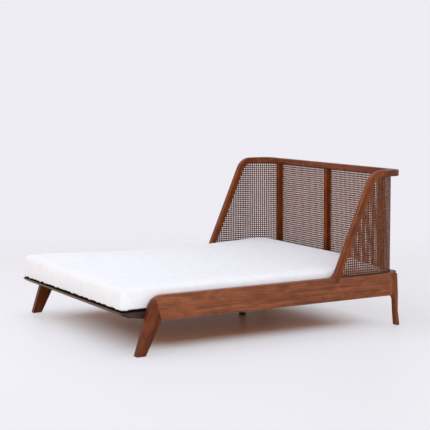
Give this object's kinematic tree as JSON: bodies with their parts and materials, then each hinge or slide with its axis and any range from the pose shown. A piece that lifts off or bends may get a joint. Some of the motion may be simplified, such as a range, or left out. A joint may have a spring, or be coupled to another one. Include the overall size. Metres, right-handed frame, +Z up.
{
  "type": "rattan bed",
  "caption": "Low wooden double bed with splayed front legs, a wrap-round cane headboard with raked wing posts, a slatted platform and a lift-off mattress.",
  "frame": {"origin": "on the floor, in the middle of the bed's footprint", "axes": "+Z up, +Y from the foot to the head, +X to the right seen from the foot"},
  "size_m": [1.712, 2.075, 1.053],
  "materials": {
    "frame_wood": "satin",
    "dark_wood": "satin",
    "slat_wood": "matte",
    "cane": "satin",
    "black_liner": "matte",
    "mattress_fabric": "matte",
    "black_metal": "satin",
    "black_plastic": "matte",
    "steel": "satin"
  },
  "bodies": {
    "frame": {"side_rail_left": "frame_wood", "front_leg_left": "frame_wood", "rear_leg_left": "frame_wood", "wing_post_left": "frame_wood", "top_corner_left": "frame_wood", "lower_corner_left": "frame_wood", "wing_cane_left": "cane", "back_cane_left": "cane", "slat_cleat_left": "slat_wood", "side_rail_right": "frame_wood", "front_leg_right": "frame_wood", "rear_leg_right": "frame_wood", "wing_post_right": "frame_wood", "top_corner_right": "frame_wood", "lower_corner_right": "frame_wood", "wing_cane_right": "cane", "back_cane_right": "cane", "slat_cleat_right": "slat_wood", "back_post_left": "frame_wood", "back_post_centre": "frame_wood", "back_post_right": "frame_wood", "top_back_rail": "frame_wood", "lower_back_rail": "frame_wood", "foot_rail": "dark_wood", "centre_beam": "slat_wood", "slat_01": "slat_wood", "slat_02": "slat_wood", "slat_03": "slat_wood", "slat_04": "slat_wood", "slat_05": "slat_wood", "slat_06": "slat_wood", "slat_07": "slat_wood", "slat_08": "slat_wood", "slat_09": "slat_wood", "slat_10": "slat_wood", "slat_11": "slat_wood", "slat_12": "slat_wood", "slat_13": "slat_wood", "deck_liner": "black_liner", "centre_leg_front": "black_metal", "centre_leg_rear": "black_metal", "cane_splines": "cane", "foot_glides": "black_plastic", "frame_tenons": "slat_wood", "headboard_tenons": "slat_wood", "corner_bolts": "steel", "corner_inserts": "steel", "angle_brackets": "steel", "bracket_screws": "steel", "slat_screws": "steel", "cleat_screws": "steel", "leg_plate_screws": "steel"},
    "mattress": {"mattress": "mattress_fabric"},
    "front_levelling_foot": {"levelling_foot_front": "black_plastic"},
    "rear_levelling_foot": {"levelling_foot_rear": "black_plastic"}
  },
  "joints": [
    {"name": "mattress_lift", "type": "slide", "parent": "frame", "child": "mattress", "axis": [0, 0, 1], "range_m": [0, 0.8]},
    {"name": "front_foot_screw", "type": "slide", "parent": "frame", "child": "front_levelling_foot", "axis": [0, 0, 1], "range_m": [0, 0.012]},
    {"name": "rear_foot_screw", "type": "slide", "parent": "frame", "child": "rear_levelling_foot", "axis": [0, 0, 1], "range_m": [0, 0.012]}
  ]
}
